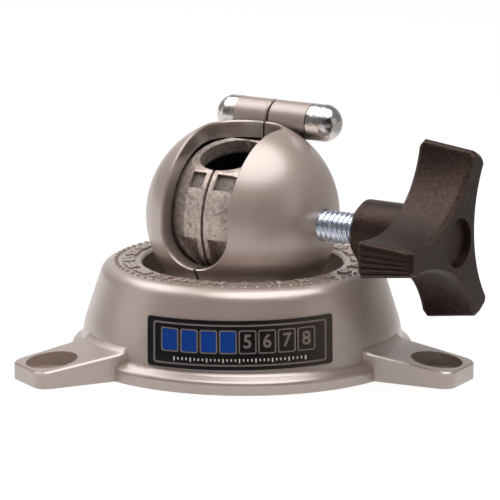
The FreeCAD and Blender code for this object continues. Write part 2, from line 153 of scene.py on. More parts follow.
def ramp(tree, value, stops):
    """Colour ramp; stops are (position, colour)."""
    node = tree.nodes.new("ShaderNodeValToRGB")
    elements = node.color_ramp.elements
    while len(elements) < len(stops):
        elements.new(0.5)
    for element, (place, colour) in zip(elements, stops):
        element.position = place
        element.color = (*colour, 1)
    tree.links.new(value, node.inputs["Fac"])
    return node.outputs["Color"]


def two_tones(tree, value, tones):
    """Colour between two tones, over a noise's usual span."""
    return ramp(tree, value, list(zip(NOISE_SPAN, tones)))


def map_range(tree, value, source, target):
    """Value mapped from the source span to the target span, and clamped to it."""
    node = tree.nodes.new("ShaderNodeMapRange")
    for name, number in zip(("From Min", "From Max", "To Min", "To Max"), (*source, *target)):
        node.inputs[name].default_value = number
    tree.links.new(value, node.inputs["Value"])
    return node.outputs["Result"]


def spread(tree, value, target):
    """Noise mapped from its usual span to the target span."""
    return map_range(tree, value, NOISE_SPAN, target)


def tinted(tree, colour, share):
    """Colour times a share."""
    mix = tree.nodes.new("ShaderNodeMix")
    mix.data_type = "RGBA"
    mix.blend_type = "MULTIPLY"
    mix.inputs["Factor"].default_value = 1.0
    tree.links.new(colour, mix.inputs[MIX_FIRST_COLOUR])
    tree.links.new(share, mix.inputs[MIX_SECOND_COLOUR])
    return mix.outputs[MIX_RESULT_COLOUR]


def calculate(tree, operation, first, second=None):
    """Result of a math node; the second operand is a socket or a number."""
    node = tree.nodes.new("ShaderNodeMath")
    node.operation = operation
    tree.links.new(first, node.inputs[0])
    if isinstance(second, (int, float)):
        node.inputs[1].default_value = second
    elif second is not None:
        tree.links.new(second, node.inputs[1])
    return node.outputs[0]


def vector_math(tree, operation, first, second=None):
    """Vector or value of a vector math node; the second operand is a plain vector."""
    node = tree.nodes.new("ShaderNodeVectorMath")
    node.operation = operation
    tree.links.new(first, node.inputs[0])
    if second is not None:
        node.inputs[1].default_value = second
    return node.outputs["Value" if operation in ("DOT_PRODUCT", "LENGTH") else "Vector"]


def offset_from(tree, centre):
    """The shaded point's place from a centre."""
    return vector_math(tree, "SUBTRACT", position(tree), centre)


def radius_about(tree, offset, axis):
    """Distance of an offset from an axis."""
    return vector_math(tree, "LENGTH", vector_math(tree, "CROSS_PRODUCT", offset, axis))


def soiled(tree, colour, recess, own=False):
    """Colour with painted shade in recesses, its own or any; a recess is (width in mm, share, span of
    openness).
    """
    width, deep, span = recess
    hollow = add_node(tree, "ShaderNodeAmbientOcclusion", Distance=width * MM)
    hollow.samples = RECESS_SAMPLES
    hollow.only_local = own
    return tinted(tree, colour, map_range(tree, hollow.outputs["AO"], span, (deep, 1.0)))


def bump(tree, shader, layers):
    """Bump from (value, relief) layers, added one on another."""
    normal = None
    for value, (strength, height) in layers:
        node = add_node(tree, "ShaderNodeBump", Strength=strength, Distance=height * MM)
        tree.links.new(value, node.inputs["Height"])
        if normal is not None:
            tree.links.new(normal, node.inputs["Normal"])
        normal = node.outputs["Normal"]
    tree.links.new(normal, shader.inputs["Normal"])


def mix_shaders(tree, share, first, second):
    """Shader that goes from the first to the second as the share rises."""
    node = tree.nodes.new("ShaderNodeMixShader")
    for target, source in zip(node.inputs, (share, first, second)):
        tree.links.new(source, target)
    return node.outputs[0]


# ---- Paint ----

PAINT_BROAD_GRAIN = (0.05, 3, 0.6)
PAINT_FINE_GRAIN = (1.1, 5, 0.70)
PAINT_FLAKE_GRAIN = (6.0, 2, 0.8)
PAINT_FINE_RELIEF = (0.26, 0.14)
PAINT_FLAKE_RELIEF = (0.14, 0.03)
PAINT_TONES = ((0.390, 0.294, 0.254), (0.440, 0.340, 0.297))
PAINT_METALLIC = 0.36
PAINT_ROUGHNESS = (0.36, 0.46)
COAT_ROUGHNESS = 0.28
COAT_IOR = 2.2
# Painted shade on the surfaces under the ball's skin, between these radii from its centre.
SKIN_RADII = (23.2 * MM, 24.2 * MM)
UNDER_SKIN_SHARE = 0.5
# Painted shade in recesses: (width in mm, share, span of openness).
BASE_RECESS_SHADE = (9.0, 0.22, (0.10, 0.42))
BASE_COAT = 0.9
BALL_RECESS_SHADE = (6.5, 0.22, (0.20, 0.80))
BALL_COAT = 0.75


def inner_share(tree):
    """Painted shade: share of light on the surfaces under the ball's skin, such as the slot's walls."""
    radius = vector_math(tree, "LENGTH", offset_from(tree, BALL_CENTRE))
    return map_range(tree, radius, SKIN_RADII, (UNDER_SKIN_SHARE, 1))


def cast_paint(name, recess, own, coat):
    """Satin silver-beige paint over a fine sand-cast skin, with painted shade in recesses, its own or any,
    and on the surfaces under the ball's skin.
    """
    material, tree, shader = new_material(name)
    where = millimetres(tree)
    broad = noise(tree, where, PAINT_BROAD_GRAIN)
    fine = noise(tree, where, PAINT_FINE_GRAIN)
    flake = noise(tree, where, PAINT_FLAKE_GRAIN)
    # Painted shade on the surfaces under the ball's skin.
    colour = tinted(tree, two_tones(tree, broad, PAINT_TONES), inner_share(tree))
    # Painted shade: the colour is darker in recesses.
    tree.links.new(soiled(tree, colour, recess, own), shader.inputs["Base Color"])
    shader.inputs["Metallic"].default_value = PAINT_METALLIC
    shader.inputs["Coat Weight"].default_value = coat
    shader.inputs["Coat Roughness"].default_value = COAT_ROUGHNESS
    shader.inputs["Coat IOR"].default_value = COAT_IOR
    tree.links.new(spread(tree, flake, PAINT_ROUGHNESS), shader.inputs["Roughness"])
    bump(tree, shader, [(fine, PAINT_FINE_RELIEF), (flake, PAINT_FLAKE_RELIEF)])
    return material


# ---- Raw casting of the core ----

# Painted shade deep in the stem's bore.
BORE_FLOOR = (13.2 * MM, 14.0 * MM)
BORE_SHARES = (0.015, 0.85)
BORE_RADII = (8.10 * MM, 8.30 * MM)
# Painted shade on the two sunken patches in front of the bore's mouth.
RELIEF_UP_SPAN = (16.6 * MM, 18.05 * MM)
RELIEF_FRONT_SPAN = (-2.35 * MM, 2.35 * MM)
RELIEF_SIDE_SPAN = (-5.7 * MM, 8.7 * MM)
RELIEF_BLUR = 0.1 * MM
RELIEF_SHARE = 0.33
RAW_MOTTLE_GRAIN = (0.9, 6, 0.72)
RAW_FINE_GRAIN = (3.0, 4, 0.7)
RAW_MOTTLE_RELIEF = (0.40, 0.30)
RAW_FINE_RELIEF = (0.25, 0.08)
RAW_TONES = [
    (0.34, (0.30, 0.238, 0.208)),
    (0.48, (0.56, 0.459, 0.407)),
    (0.64, (0.76, 0.642, 0.577)),
]
# Painted shade in the core's recesses.
RAW_RECESS_SHADE = (4.0, 0.92, (0.20, 0.60))
RAW_METALLIC = 0.6
RAW_ROUGHNESS = (0.34, 0.52)


def bore_share(tree):
    """Painted shade in the stem's bore: share of light next to none deep in it, all outside it."""
    offset = offset_from(tree, BALL_CENTRE)
    along = vector_math(tree, "DOT_PRODUCT", offset, STEM_AXIS)
    depth = map_range(tree, along, BORE_FLOOR, BORE_SHARES)
    outside = map_range(tree, radius_about(tree, offset, STEM_AXIS), BORE_RADII, SHARE_SPAN)
    return calculate(tree, "MAXIMUM", depth, outside)


def relief_share(tree):
    """Painted shade: share of light on the two sunken patches in front of the bore's mouth."""
    offset = offset_from(tree, BALL_CENTRE)
    share = None
    for axis, (low, high) in (
        (RELIEF_AXIS, RELIEF_UP_SPAN),
        (RELIEF_AXIS.cross(KNOB_AXIS), RELIEF_FRONT_SPAN),
        (KNOB_AXIS, RELIEF_SIDE_SPAN),
    ):
        along = vector_math(tree, "DOT_PRODUCT", offset, axis)
        middle, half = (low + high) / 2, (high - low) / 2
        away = calculate(tree, "ABSOLUTE", calculate(tree, "SUBTRACT", along, middle))
        outside = map_range(tree, away, (half - RELIEF_BLUR, half + RELIEF_BLUR), SHARE_SPAN)
        share = outside if share is None else calculate(tree, "MAXIMUM", share, outside)
    return map_range(tree, share, SHARE_SPAN, (RELIEF_SHARE, 1))


def raw_casting():
    """Unpainted die casting: mottled grey, with painted shade in its recesses, on the two sunken patches in
    front of the bore's mouth and deep in the bore.
    """
    material, tree, shader = new_material("raw_casting")
    where = millimetres(tree)
    mottle = noise(tree, where, RAW_MOTTLE_GRAIN)
    fine = noise(tree, where, RAW_FINE_GRAIN)
    # Painted shade: the colour is darker in recesses.
    colour = soiled(tree, ramp(tree, mottle, RAW_TONES), RAW_RECESS_SHADE)
    # Painted shade on the two sunken patches.
    colour = tinted(tree, colour, relief_share(tree))
    # Painted shade deep in the stem's bore.
    tree.links.new(tinted(tree, colour, bore_share(tree)), shader.inputs["Base Color"])
    shader.inputs["Metallic"].default_value = RAW_METALLIC
    tree.links.new(spread(tree, fine, RAW_ROUGHNESS), shader.inputs["Roughness"])
    bump(tree, shader, [(mottle, RAW_MOTTLE_RELIEF), (fine, RAW_FINE_RELIEF)])
    return material


# ---- Plated metal and brass ----

# Painted shade in the tie nut's hex socket.
SOCKET_RADII = (1.50 * MM, 1.60 * MM)
SOCKET_SHARE = 0.03
SOCKET_SIDE = (-1 * MM, 0)
CHROME_RIPPLE_GRAIN = (0.30, 2, 0.6)
CHROME_SMEAR_GRAIN = (2.2, 4, 0.6)
CHROME_RELIEF = (0.5, 0.40)
CHROME_TONES = ((0.62, 0.585, 0.56), (0.78, 0.75, 0.73))
CHROME_ROUGHNESS = (0.16, 0.26)
ZINC_GRAIN = (0.8, 4, 0.6)
ZINC_RELIEF = (0.2, 0.05)
ZINC_TONES = ((0.58, 0.65, 0.78), (0.82, 0.87, 0.95))
ZINC_METALLIC = 0.9
ZINC_ROUGHNESS = (0.18, 0.32)
BRASS_GRAIN = (1.2, 4, 0.6)
BRASS_TONES = ((0.50, 0.36, 0.15), (0.66, 0.50, 0.24))
BRASS_ROUGHNESS = (0.25, 0.4)


def socket_share(tree):
    """Painted shade in the tie nut's hex socket: share of light next to none in it, all elsewhere on the nut
    and screw.
    """
    offset = offset_from(tree, TIE_CENTRE)
    outside = map_range(tree, radius_about(tree, offset, KNOB_AXIS), SOCKET_RADII, (SOCKET_SHARE, 1))
    screw_side = map_range(tree, vector_math(tree, "DOT_PRODUCT", offset, KNOB_AXIS), SOCKET_SIDE, SHARE_SPAN)
    return calculate(tree, "MAXIMUM", outside, screw_side)


def chrome():
    """Bright plating with faint ripples under it, and painted shade in the nut's hex socket."""
    material, tree, shader = new_material("bright_chrome")
    where = millimetres(tree)
    ripple = noise(tree, where, CHROME_RIPPLE_GRAIN)
    smear = noise(tree, where, CHROME_SMEAR_GRAIN)
    # Painted shade in the nut's hex socket.
    colour = tinted(tree, two_tones(tree, smear, CHROME_TONES), socket_share(tree))
    tree.links.new(colour, shader.inputs["Base Color"])
    shader.inputs["Metallic"].default_value = 1.0
    tree.links.new(spread(tree, smear, CHROME_ROUGHNESS), shader.inputs["Roughness"])
    bump(tree, shader, [(ripple, CHROME_RELIEF)])
    return material


def zinc_plate():
    """Bluish zinc plating on the stud."""
    material, tree, shader = new_material("blue_zinc")
    cloud = noise(tree, millimetres(tree), ZINC_GRAIN)
    tree.links.new(two_tones(tree, cloud, ZINC_TONES), shader.inputs["Base Color"])
    shader.inputs["Metallic"].default_value = ZINC_METALLIC
    tree.links.new(spread(tree, cloud, ZINC_ROUGHNESS), shader.inputs["Roughness"])
    bump(tree, shader, [(cloud, ZINC_RELIEF)])
    return material


def brass():
    """Turned brass."""
    material, tree, shader = new_material("turned_brass")
    tone = noise(tree, millimetres(tree), BRASS_GRAIN)
    tree.links.new(two_tones(tree, tone, BRASS_TONES), shader.inputs["Base Color"])
    shader.inputs["Metallic"].default_value = 1.0
    tree.links.new(spread(tree, tone, BRASS_ROUGHNESS), shader.inputs["Roughness"])
    return material


# ---- Plastic, film and ink ----

KNOB_GRAIN = (1.6, 5, 0.75)
KNOB_CLOUD_GRAIN = (0.12, 3, 0.6)
KNOB_SHEEN_GRAIN = (0.9, 4, 0.7)
KNOB_RELIEF = (0.45, 0.16)
KNOB_TONES = ((0.0075, 0.0046, 0.0039), (0.0125, 0.0080, 0.0067))
KNOB_SPECULAR = (0.32, 0.76)
KNOB_SPECULAR_TINT = (1.0, 0.62, 0.54, 1)
KNOB_ROUGHNESS = (0.30, 0.46)
FILM_SPAN = (-22 * MM, 22 * MM)
FILM_TONES = [
    (0.0, (0.004, 0.004, 0.006)),
    (0.55, (0.005, 0.0045, 0.005)),
    (1.0, (0.042, 0.031, 0.026)),
]
FILM_GRAIN = (2.5, 3, 0.6)
FILM_RELIEF = (0.05, 0.02)
FILM_ROUGHNESS = (0.30, 0.38)
INK_GRAIN = (1.5, 3, 0.6)
INK_ROUGHNESS = (0.32, 0.42)
INK_TONES = {
    "grey": ((0.13, 0.105, 0.092), (0.20, 0.165, 0.148)),
    "blue": ((0.002, 0.032, 0.19), (0.004, 0.045, 0.25)),
    "pale": ((0.50, 0.46, 0.43), (0.66, 0.62, 0.59)),
}
PLATE_SPECULAR = 0.25


def knob_plastic():
    """Dark brown-black moulded plastic with a fine matt grain."""
    material, tree, shader = new_material("dark_plastic")
    where = millimetres(tree)
    grain = noise(tree, where, KNOB_GRAIN)
    cloud = noise(tree, where, KNOB_CLOUD_GRAIN)
    sheen = noise(tree, where, KNOB_SHEEN_GRAIN)
    tree.links.new(two_tones(tree, cloud, KNOB_TONES), shader.inputs["Base Color"])
    tree.links.new(spread(tree, sheen, KNOB_SPECULAR), shader.inputs["Specular IOR Level"])
    shader.inputs["Specular Tint"].default_value = KNOB_SPECULAR_TINT
    tree.links.new(spread(tree, grain, KNOB_ROUGHNESS), shader.inputs["Roughness"])
    bump(tree, shader, [(grain, KNOB_RELIEF)])
    return material


def plate_film():
    """Black printed film that pales a little towards its right end."""
    material, tree, shader = new_material("plate_film")
    across = map_range(tree, along_axis(tree, position(tree), "X"), FILM_SPAN, SHARE_SPAN)
    grain = noise(tree, millimetres(tree), FILM_GRAIN)
    shader.inputs["Specular IOR Level"].default_value = PLATE_SPECULAR
    tree.links.new(ramp(tree, across, FILM_TONES), shader.inputs["Base Color"])
    tree.links.new(spread(tree, grain, FILM_ROUGHNESS), shader.inputs["Roughness"])
    bump(tree, shader, [(grain, FILM_RELIEF)])
    return material


def print_ink(name):
    """Printed ink whose tone varies slightly."""
    material, tree, shader = new_material(name + "_ink")
    tone = noise(tree, millimetres(tree), INK_GRAIN)
    tree.links.new(two_tones(tree, tone, INK_TONES[name]), shader.inputs["Base Color"])
    shader.inputs["Specular IOR Level"].default_value = PLATE_SPECULAR
    tree.links.new(spread(tree, tone, INK_ROUGHNESS), shader.inputs["Roughness"])
    return material


# ---- Mesh helpers ----

TEXT_BEVEL = 0.03
TEXT_SWELL = 0.02
TEXT_CURVE_STEPS = 3


def new_piece(name, mesh_data, material, body):
    """Object from a bmesh, riding on a body."""
    mesh = bpy.data.meshes.new(name)
    mesh_data.normal_update()
    mesh_data.to_mesh(mesh)
    mesh_data.free()
    piece = bpy.data.objects.new(name, mesh)
    bpy.context.scene.collection.objects.link(piece)
    mesh.materials.append(material)
    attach(piece, body)
    return piece


def shade(piece, sharp_angle):
    """Smooth shading with edges sharper than an angle kept hard."""
    piece.data.shade_smooth()
    piece.data.set_sharp_from_angle(angle=math.radians(sharp_angle))


def grid_faces(mesh, rows, closed=True):
    """Quads between rows of vertices; closed joins each row's ends."""
    for lower, upper in zip(rows, rows[1:]):
        count = len(lower)
        for index in range(count if closed else count - 1):
            after = (index + 1) % count
            mesh.faces.new((lower[index], lower[after], upper[after], upper[index]))


def order_faces(mesh):
    """Put the faces in the order of their places, since solidify makes its side faces in any order."""
    by_place = sorted(mesh.faces, key=lambda face: tuple(face.calc_center_median()))
    ranks = {face: rank for rank, face in enumerate(by_place)}
    mesh.faces.sort(key=lambda face: ranks[face])


def text_mesh(body, size, relief):
    """Mesh of a number centred at the origin in the XY plane, raised by its relief."""
    curve = bpy.data.curves.new("number", "FONT")
    curve.body = body
    curve.size = size
    curve.extrude = relief
    curve.offset = TEXT_SWELL * size
    curve.bevel_depth = TEXT_BEVEL * size if relief else 0
    curve.resolution_u = TEXT_CURVE_STEPS
    curve.align_x = "CENTER"
    curve.align_y = "CENTER"
    holder = bpy.data.objects.new("number", curve)
    bpy.context.scene.collection.objects.link(holder)
    depsgraph = bpy.context.evaluated_depsgraph_get()
    mesh = bpy.data.meshes.new_from_object(holder.evaluated_get(depsgraph))
    bpy.data.objects.remove(holder)
    bpy.data.curves.remove(curve)
    return mesh


def add_number(mesh, number, size, relief, placing):
    """Add a number to a bmesh, placed by a matrix."""
    text = text_mesh(str(number), size, relief)
    text.transform(placing)
    mesh.from_mesh(text)
    bpy.data.meshes.remove(text)


# ---- Ball halves ----
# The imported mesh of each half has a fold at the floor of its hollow, which strays over the seam.

SEAM_HALF = 0.25 * MM
SEAM_SLACK = 0.001 * MM
BALL_SHARP_ANGLE = 20


def make_ball_half(side, sign, paint):
    """Ball half from its node's mesh, with the fold over the seam cut out and the hole closed."""
    node = "ball_half_" + side
    mesh = bmesh.new()
    mesh.from_mesh(nodes[node].data)
    mesh.transform(nodes[node].matrix_world)
    bmesh.ops.remove_doubles(mesh, verts=mesh.verts, dist=SEAM_SLACK)
    strays = [
        vertex for vertex in mesh.verts
        if (vertex.co - BALL_CENTRE).dot(KNOB_AXIS) * sign < SEAM_HALF - SEAM_SLACK
    ]
    bmesh.ops.delete(mesh, geom=strays, context="VERTS")
    rim = [edge for edge in mesh.edges if edge.is_boundary]
    closed = bmesh.ops.holes_fill(mesh, edges=rim, sides=0)
    bmesh.ops.triangulate(mesh, faces=closed["faces"], quad_method="BEAUTY", ngon_method="BEAUTY")
    half = new_piece("ball_shell_" + side, mesh, paint, "ball_" + side)
    shade(half, BALL_SHARP_ANGLE)
    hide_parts(node)


# ---- Threaded stud ----

STUD_R = 3.97 * MM
STUD_ROOT_R = 3.30 * MM
STUD_TIP_R = 3.00 * MM
STUD_TIP = 17.05 * MM
STUD_END = 54.5 * MM
SPIGOT_HOLE_R = 1.55 * MM
SPIGOT_HOLE_END = 20.1 * MM
THREAD_PITCH = 1.411 * MM
THREAD_STEEPNESS = 1.45
THREAD_ROOT_FLAT = 0.15
THREAD_SIDES = 48
THREAD_STEPS = 8
STUD_SHARP_ANGLE = 50


def axis_point(along, radius, turn):
    """Point around the knob's axis: turn is the angle from the front of the ball upwards."""
    return (
        BALL_CENTRE + KNOB_AXIS * along
        + (FRONT * math.cos(turn) + UP * math.sin(turn)) * radius
    )


def thread_radius(along, turn):
    """Radius of a right-hand V thread with flat crests and roots, run out at the tip."""
    phase = (along / THREAD_PITCH + turn / (2 * math.pi)) % 1
    height = min(1, max(0, THREAD_STEEPNESS * abs(2 * phase - 1) - THREAD_ROOT_FLAT))
    radius = STUD_ROOT_R + (STUD_R - STUD_ROOT_R) * height
    return min(radius, STUD_TIP_R + (along - STUD_TIP))


def make_stud():
    """Stud with its real thread and the hole for the pad's spigot."""
    mesh = bmesh.new()
    turns = [2 * math.pi * index / THREAD_SIDES for index in range(THREAD_SIDES)]
    rows = [[mesh.verts.new(axis_point(SPIGOT_HOLE_END, SPIGOT_HOLE_R, turn)) for turn in turns]]
    rows.append([mesh.verts.new(axis_point(STUD_TIP, SPIGOT_HOLE_R, turn)) for turn in turns])
    count = int((STUD_END - STUD_TIP) / THREAD_PITCH * THREAD_STEPS)
    for step in range(count + 1):
        along = STUD_TIP + (STUD_END - STUD_TIP) * step / count
        rows.append([
            mesh.verts.new(axis_point(along, thread_radius(along, turn), turn)) for turn in turns
        ])
    grid_faces(mesh, rows)
    mesh.faces.new(rows[0])
    mesh.faces.new(list(reversed(rows[-1])))
    bmesh.ops.recalc_face_normals(mesh, faces=mesh.faces)
    stud = new_piece("threaded_stud", mesh, zinc_plate(), "knob")
    shade(stud, STUD_SHARP_ANGLE)
    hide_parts("knob_stud")


# ---- Raised scale on the rim ----

RIM_Z = 24.2 * MM
RIM_RELIEF = 0.40 * MM
RIM_ZERO_ANGLE = -90
RIM_NUMBER_R = 29.0 * MM
RIM_NUMBER_SIZE = 3.9 * MM
RIM_NUMBER_STEP = 15
RIM_TICK_R = 32.0 * MM
RIM_TICK_SIZE = (0.9 * MM, 0.5 * MM)
RIM_TICK_STEP = 5
RIM_TICK_LEVELS = ((-1, 1.0), (0.6, 1.0), (1, 0.7))
RIM_SHARP_ANGLE = 40


def add_tick(mesh, turn):
    """Small block with its top a little narrower, turned about Z."""
    half_x, half_y = RIM_TICK_SIZE[0] / 2, RIM_TICK_SIZE[1] / 2
    corners = [(-half_x, -half_y), (half_x, -half_y), (half_x, half_y), (-half_x, half_y)]
    centre = turn @ Vector((RIM_TICK_R, 0, RIM_Z))
    rows = []
    for level, share in RIM_TICK_LEVELS:
        rows.append([
            mesh.verts.new(centre + turn @ Vector((x * share, y * share, RIM_RELIEF * level)))
            for x, y in corners
        ])
    grid_faces(mesh, rows)
    mesh.faces.new(rows[0])
    mesh.faces.new(rows[-1])


def make_rim_scale():
    """Raised degree numbers and ticks round the flat rim."""
    mesh = bmesh.new()
    upright = Matrix.Rotation(math.radians(90), 4, "Z")
    for degrees in range(0, 360, RIM_NUMBER_STEP):
        turn = Matrix.Rotation(math.radians(degrees + RIM_ZERO_ANGLE), 4, "Z")
        placing = turn @ Matrix.Translation((RIM_NUMBER_R, 0, RIM_Z)) @ upright
        add_number(mesh, degrees, RIM_NUMBER_SIZE, RIM_RELIEF, placing)
    for degrees in range(0, 360, RIM_TICK_STEP):
        add_tick(mesh, Matrix.Rotation(math.radians(degrees + RIM_ZERO_ANGLE), 3, "Z"))
    bmesh.ops.recalc_face_normals(mesh, faces=mesh.faces)
    scale = new_piece("rim_scale", mesh, nodes["base_casting"].data.materials[0], "base")
    shade(scale, RIM_SHARP_ANGLE)


# ---- Print on the name plate ----

PLATE_TURN = math.radians(-2.2)
PLATE_ROLL = math.radians(1.0)
PLATE_MIDDLE = 11.5 * MM
PLATE_HALF = (22.6 * MM, 5.75 * MM)
PLATE_RAY_START = -80 * MM
PRINT_LIFT = 0.05 * MM
PRINT_THICKNESS = 0.03 * MM
PRINT_SHARP_ANGLE = 30
CORNER_STEPS = 4
LONG_SIDE_STEPS = 40
INNER_CORNER_CUT = 0.5
FRAME_INSET = (1.5 * MM, 0.9 * MM)
FRAME_CORNER = 0.6 * MM
FRAME_WIDTH = 0.42 * MM
BLOCK_COUNT = 8
BLUE_BLOCKS = 4
BLOCK_PITCH = 4.75 * MM
BLOCK_SHIFT = (-0.4 * MM, 0.85 * MM)
BLOCK_HALF = (2.15 * MM, 2.75 * MM)
BLOCK_CORNER = 0.5 * MM
BLOCK_LINE = 0.3 * MM
BLOCK_FILL_INSET = 0.34 * MM
BLOCK_FILL_COLUMNS = 6
BLOCK_NUMBER_SIZE = 4.4 * MM
TICK_COUNT = 33
TICK_PITCH = 1.0 * MM
TICK_HALF_WIDTH = 0.16 * MM
TICK_LEVEL = -3.2 * MM
TICK_LONG = 0.75 * MM
TICK_SHORT = 0.45 * MM
TICK_LONG_STEP = 4
TICK_ABOVE_LEVEL = 0.3


class Plate:
    """The plate's face: flat print is laid on it along its own sideways and upward directions."""

    def __init__(self):
        piece = nodes["name_plate"]
        data = bmesh.new()
        data.from_mesh(piece.data)
        data.transform(piece.matrix_world)
        self.tree = BVHTree.FromBMesh(data)
        data.free()
        roll = Matrix.Rotation(-PLATE_ROLL, 3, "Y")
        self.turn = Matrix.Rotation(PLATE_TURN, 3, "Z") @ roll

    def spot(self, across, up):
        """Point and outward normal on the plate, from its middle."""
        middle = Vector((0, 0, PLATE_MIDDLE))
        start = self.turn @ Vector((across, PLATE_RAY_START, up)) + middle
        place, normal, _, _ = self.tree.ray_cast(start, self.turn @ Vector((0, 1, 0)))
        if normal.y > 0:
            normal = -normal
        return place, normal

    def lay(self, mesh):
        """Bend a flat mesh round the plate, and give it a thickness."""
        for vertex in mesh.verts:
            place, normal = self.spot(vertex.co.x, vertex.co.y)
            vertex.co = place + normal * PRINT_LIFT
        bmesh.ops.recalc_face_normals(mesh, faces=mesh.faces)
        if sum(face.normal.y * face.calc_area() for face in mesh.faces) > 0:
            bmesh.ops.reverse_faces(mesh, faces=mesh.faces)
        bmesh.ops.solidify(mesh, geom=list(mesh.faces), thickness=PRINT_THICKNESS)
        order_faces(mesh)


def flat_grid(mesh, left, right, low, high, columns):
    """Flat rectangle in columns."""
    step = (right - left) / columns
    rows = [
        [mesh.verts.new((left + step * index, level, 0)) for index in range(columns + 1)]
        for level in (low, high)
    ]
    grid_faces(mesh, rows, closed=False)


def outline_path(half_x, half_y, centre, corner):
    """Points round a rectangle with rounded corners, close together on its long sides."""
    points = []
    for side_x, side_y, start in ((1, 1, 0), (-1, 1, 90), (-1, -1, 180), (1, -1, 270)):
        for step in range(CORNER_STEPS + 1):
            turn = math.radians(start + 90 / CORNER_STEPS * step)
            points.append((
                centre[0] + side_x * (half_x - corner) + corner * math.cos(turn),
                centre[1] + side_y * (half_y - corner) + corner * math.sin(turn),
            ))
    dense = []
    for index, here in enumerate(points):
        after = points[(index + 1) % len(points)]
        longest = max(abs(here[0] - after[0]), abs(here[1] - after[1]))
        steps = LONG_SIDE_STEPS if longest > half_y else 1
        for step in range(steps):
            share = step / steps
            dense.append(tuple(start + (end - start) * share for start, end in zip(here, after)))
    return dense


def flat_outline(mesh, half_x, half_y, centre, corner, width):
    """Flat ring that follows a rectangle."""
    outer = outline_path(half_x, half_y, centre, corner)
    inner = outline_path(half_x - width, half_y - width, centre, corner - width * INNER_CORNER_CUT)
    grid_faces(mesh, [[mesh.verts.new((x, y, 0)) for x, y in path] for path in (outer, inner)])


def add_blocks(layers):
    """Row of framed blocks, the first ones filled and the others numbered."""
    half_x, half_y = BLOCK_HALF
    inner_x, inner_y = half_x - BLOCK_FILL_INSET, half_y - BLOCK_FILL_INSET
    up = BLOCK_SHIFT[1]
    for index in range(BLOCK_COUNT):
        across = (index - (BLOCK_COUNT - 1) / 2) * BLOCK_PITCH + BLOCK_SHIFT[0]
        flat_outline(layers["grey"], half_x, half_y, (across, up), BLOCK_CORNER, BLOCK_LINE)
        if index < BLUE_BLOCKS:
            flat_grid(
                layers["blue"], across - inner_x, across + inner_x,
                up - inner_y, up + inner_y, BLOCK_FILL_COLUMNS,
            )
        else:
            placing = Matrix.Translation((across, up, 0))
            add_number(layers["grey"], index + 1, BLOCK_NUMBER_SIZE, 0, placing)


def add_fine_scale(layers):
    """Row of fine ticks, every fourth one longer."""
    for index in range(TICK_COUNT):
        across = (index - (TICK_COUNT - 1) / 2) * TICK_PITCH
        tall = TICK_SHORT if index % TICK_LONG_STEP else TICK_LONG
        flat_grid(
            layers["pale"], across - TICK_HALF_WIDTH, across + TICK_HALF_WIDTH,
            TICK_LEVEL - tall, TICK_LEVEL + tall * TICK_ABOVE_LEVEL, 1,
        )


def make_plate_print():
    """Frame line, numbered blocks and a fine scale, as a neutral stand-in for lettering."""
    plate = Plate()
    layers = {name: bmesh.new() for name in INK_TONES}
    flat_outline(
        layers["grey"], PLATE_HALF[0] - FRAME_INSET[0], PLATE_HALF[1] - FRAME_INSET[1],
        (0, 0), FRAME_CORNER, FRAME_WIDTH,
    )
    add_blocks(layers)
    add_fine_scale(layers)
    for name, layer in layers.items():
        plate.lay(layer)
        piece = new_piece("plate_print_" + name, layer, print_ink(name), "base")
        shade(piece, PRINT_SHARP_ANGLE)


# ---- Stage ----
# Painted reflection: what glossy rays see of the floor is a glow, not lit paper, that is dimmer to the right,
# at the front and in one patch.

FLOOR_HALF = 6
FLOOR_DROP = 0.02 * MM
FLOOR_COLOUR = (0.88, 0.87, 0.86, 1)
FLOOR_ROUGHNESS = 0.9
GLOW_COLOUR = (1, 0.985, 0.975, 1)
GLOW_STRENGTH = 1.08
GLOW_SHARE = 0.84
# Painted reflection: dimming of the floor's glow for glossy rays, by place.
RIGHT_DIMMING = ((0.05, 0.12), (0.98, 0.45))
FRONT_DIMMING = ((-0.24, -0.12), (0.65, 1))
PATCH_DIMMING = ((0.040, 0.055), (0.05, 1))
PATCH_CENTRE = (0.075, -0.155, 0)


def mirrored_strength(tree):
    """Strength of the floor's glow for glossy rays, a painted reflection dimmed by place."""
    where = position(tree)
    level = map_range(tree, along_axis(tree, where, "X"), *RIGHT_DIMMING)
    front = map_range(tree, along_axis(tree, where, "Y"), *FRONT_DIMMING)
    away = vector_math(tree, "LENGTH", vector_math(tree, "SUBTRACT", where, PATCH_CENTRE))
    patch = map_range(tree, away, *PATCH_DIMMING)
    return calculate(tree, "MULTIPLY", calculate(tree, "MULTIPLY", level, front), patch)


def floor_paper():
    """Pale paper: mostly a white glow to the camera, with the shadow kept, and a glow to glossy rays as a
    painted reflection.
    """
    material, tree, shader = new_material("floor_paper")
    shader.inputs["Base Color"].default_value = FLOOR_COLOUR
    shader.inputs["Roughness"].default_value = FLOOR_ROUGHNESS
    glow = add_node(tree, "ShaderNodeEmission", Color=GLOW_COLOUR, Strength=GLOW_STRENGTH)
    mirrored = add_node(tree, "ShaderNodeEmission", Color=GLOW_COLOUR)
    tree.links.new(mirrored_strength(tree), mirrored.inputs["Strength"])
    path = tree.nodes.new("ShaderNodeLightPath")
    seen = calculate(tree, "MULTIPLY", path.outputs["Is Camera Ray"], GLOW_SHARE)
    paper = mix_shaders(tree, seen, shader.outputs[0], glow.outputs[0])
    # Glossy rays see only the painted reflection glow.
    surface = mix_shaders(tree, path.outputs["Is Glossy Ray"], paper, mirrored.outputs[0])
    tree.links.new(surface, tree.nodes["Material Output"].inputs["Surface"])
    return material


